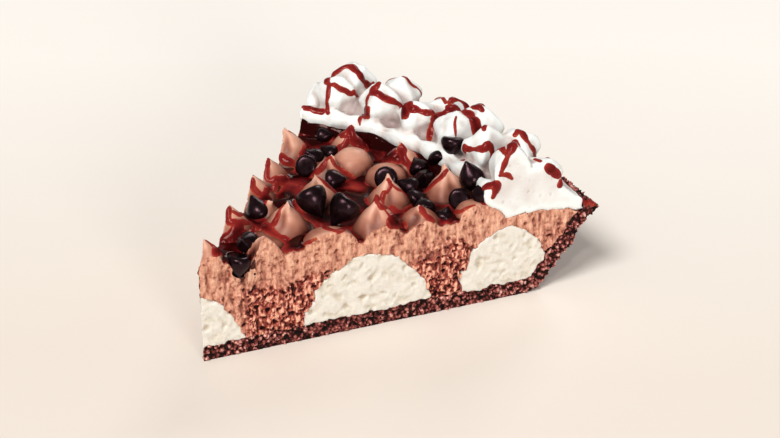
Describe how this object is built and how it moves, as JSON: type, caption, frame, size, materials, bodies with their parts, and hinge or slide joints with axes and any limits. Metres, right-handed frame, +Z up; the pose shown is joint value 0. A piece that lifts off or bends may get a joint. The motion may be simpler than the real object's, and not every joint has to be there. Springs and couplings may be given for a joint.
{
  "type": "chocolate sundae pie slice",
  "caption": "Wedge of chocolate sundae pie: crumb crust, chocolate filling piped in kisses, vanilla mounds at both cuts, whipped rim, sauce and chocolate chips.",
  "frame": {"origin": "middle of the bounding box, on the flat underside of the crust", "axes": "+X along the slice's middle line from the tip to the rim, +Y towards the far cut, +Z up"},
  "size_m": [0.1052, 0.0918, 0.0425],
  "materials": {
    "cookie_crust": "coarse dark cookie crumb, dull with small glints",
    "chocolate_mousse": "satin milk-chocolate cream, rough where cut",
    "vanilla_cream": "soft matte cream, lightly pitted where cut",
    "whipped_cream": "smooth satin whipped cream",
    "dark_chip": "satin dark chocolate"
  },
  "bodies": {
    "root": {"crust": "cookie_crust", "chocolate_filling": "chocolate_mousse", "vanilla_centre": "vanilla_cream", "vanilla_ring_inner": "vanilla_cream", "vanilla_ring_outer": "vanilla_cream", "whipped_topping": "whipped_cream", "chip_01": "dark_chip", "chip_02": "dark_chip", "chip_03": "dark_chip", "chip_04": "dark_chip", "chip_05": "dark_chip", "chip_06": "dark_chip", "chip_07": "dark_chip", "chip_08": "dark_chip", "chip_09": "dark_chip", "chip_10": "dark_chip", "chip_11": "dark_chip", "chip_12": "dark_chip", "chip_13": "dark_chip", "chip_14": "dark_chip", "chip_15": "dark_chip", "chip_16": "dark_chip", "chip_17": "dark_chip", "chip_18": "dark_chip", "chip_19": "dark_chip", "chip_20": "dark_chip", "chip_21": "dark_chip", "chip_22": "dark_chip"}
  },
  "joints": []
}
